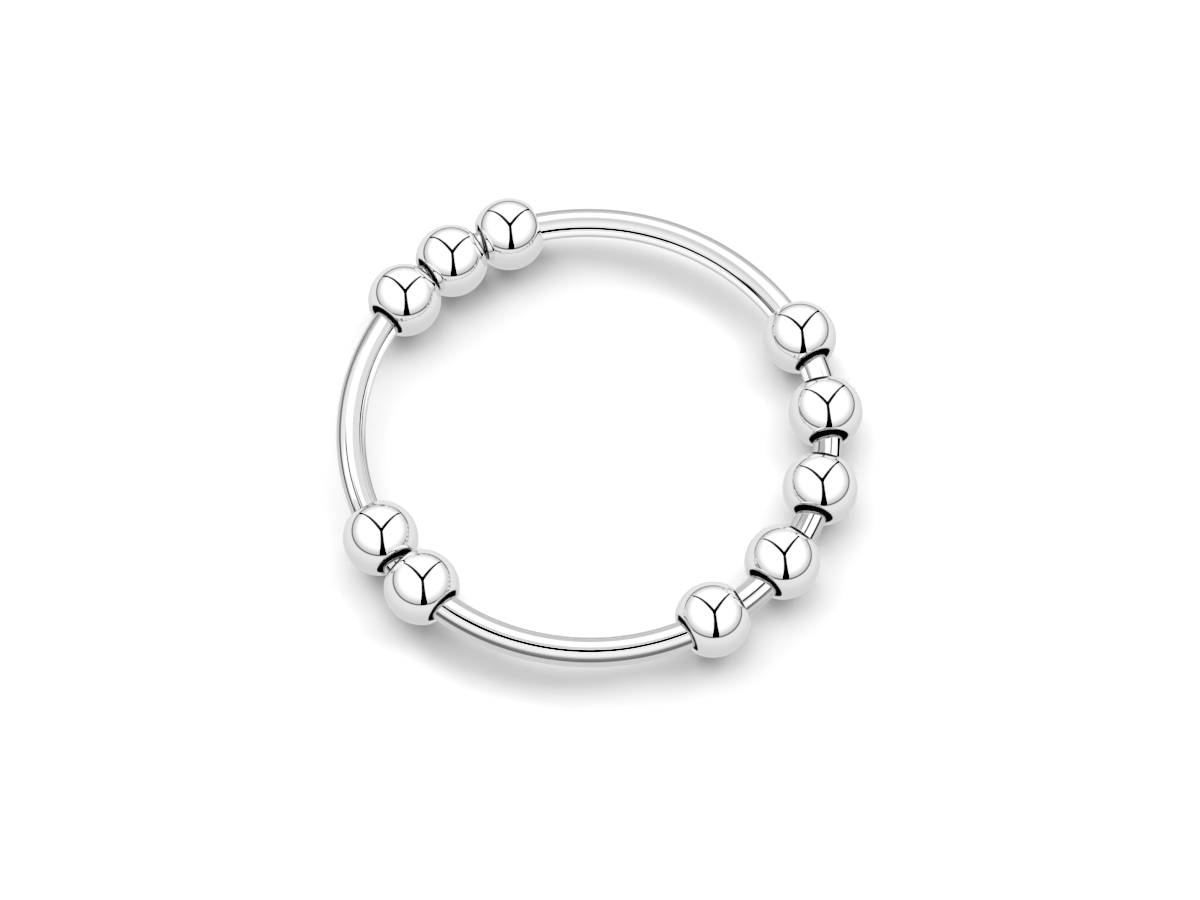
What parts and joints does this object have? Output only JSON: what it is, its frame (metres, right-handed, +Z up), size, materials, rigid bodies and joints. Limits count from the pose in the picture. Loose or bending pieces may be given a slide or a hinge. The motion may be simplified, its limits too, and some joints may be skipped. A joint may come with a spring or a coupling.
{
  "type": "beaded spinner ring",
  "caption": "Finger ring of plain round wire with polished round beads threaded on it, which slide round the band as a fidget spinner.",
  "frame": {"origin": "on the finger's axis, in the plane that the beads rest on when the ring lies flat", "axes": "+Z up along the finger's axis, +X to the right and +Y away from the viewer of the picture"},
  "size_m": [0.0213, 0.0206, 0.003],
  "materials": {
    "band": "polished sterling silver wire",
    "bead": "mirror-polished sterling silver"
  },
  "bodies": {
    "band": {"band": "band"},
    "bead_01": {"bead_01": "bead"},
    "bead_02": {"bead_02": "bead"},
    "bead_03": {"bead_03": "bead"},
    "bead_04": {"bead_04": "bead"},
    "bead_05": {"bead_05": "bead"},
    "bead_06": {"bead_06": "bead"},
    "bead_07": {"bead_07": "bead"},
    "bead_08": {"bead_08": "bead"},
    "bead_09": {"bead_09": "bead"},
    "bead_10": {"bead_10": "bead"}
  },
  "joints": [
    {"name": "bead_01_slide", "type": "hinge", "parent": "band", "child": "bead_01", "pos_m": [0, 0, 0], "axis": [0, 0, 1], "range_deg": [-68.4, 0.38]},
    {"name": "bead_02_slide", "type": "hinge", "parent": "band", "child": "bead_02", "pos_m": [0, 0, 0], "axis": [0, 0, 1], "range_deg": [-0.38, 0.14]},
    {"name": "bead_03_slide", "type": "hinge", "parent": "band", "child": "bead_03", "pos_m": [0, 0, 0], "axis": [0, 0, 1], "range_deg": [-0.14, 52.3]},
    {"name": "bead_04_slide", "type": "hinge", "parent": "band", "child": "bead_04", "pos_m": [0, 0, 0], "axis": [0, 0, 1], "range_deg": [-52.3, 0.38]},
    {"name": "bead_05_slide", "type": "hinge", "parent": "band", "child": "bead_05", "pos_m": [0, 0, 0], "axis": [0, 0, 1], "range_deg": [-0.38, 58]},
    {"name": "bead_06_slide", "type": "hinge", "parent": "band", "child": "bead_06", "pos_m": [0, 0, 0], "axis": [0, 0, 1], "range_deg": [-58, 6.7]},
    {"name": "bead_07_slide", "type": "hinge", "parent": "band", "child": "bead_07", "pos_m": [0, 0, 0], "axis": [0, 0, 1], "range_deg": [-6.7, 5.8]},
    {"name": "bead_08_slide", "type": "hinge", "parent": "band", "child": "bead_08", "pos_m": [0, 0, 0], "axis": [0, 0, 1], "range_deg": [-5.8, 4.9]},
    {"name": "bead_09_slide", "type": "hinge", "parent": "band", "child": "bead_09", "pos_m": [0, 0, 0], "axis": [0, 0, 1], "range_deg": [-4.9, 5.5]},
    {"name": "bead_10_slide", "type": "hinge", "parent": "band", "child": "bead_10", "pos_m": [0, 0, 0], "axis": [0, 0, 1], "range_deg": [-5.5, 68.4]}
  ]
}
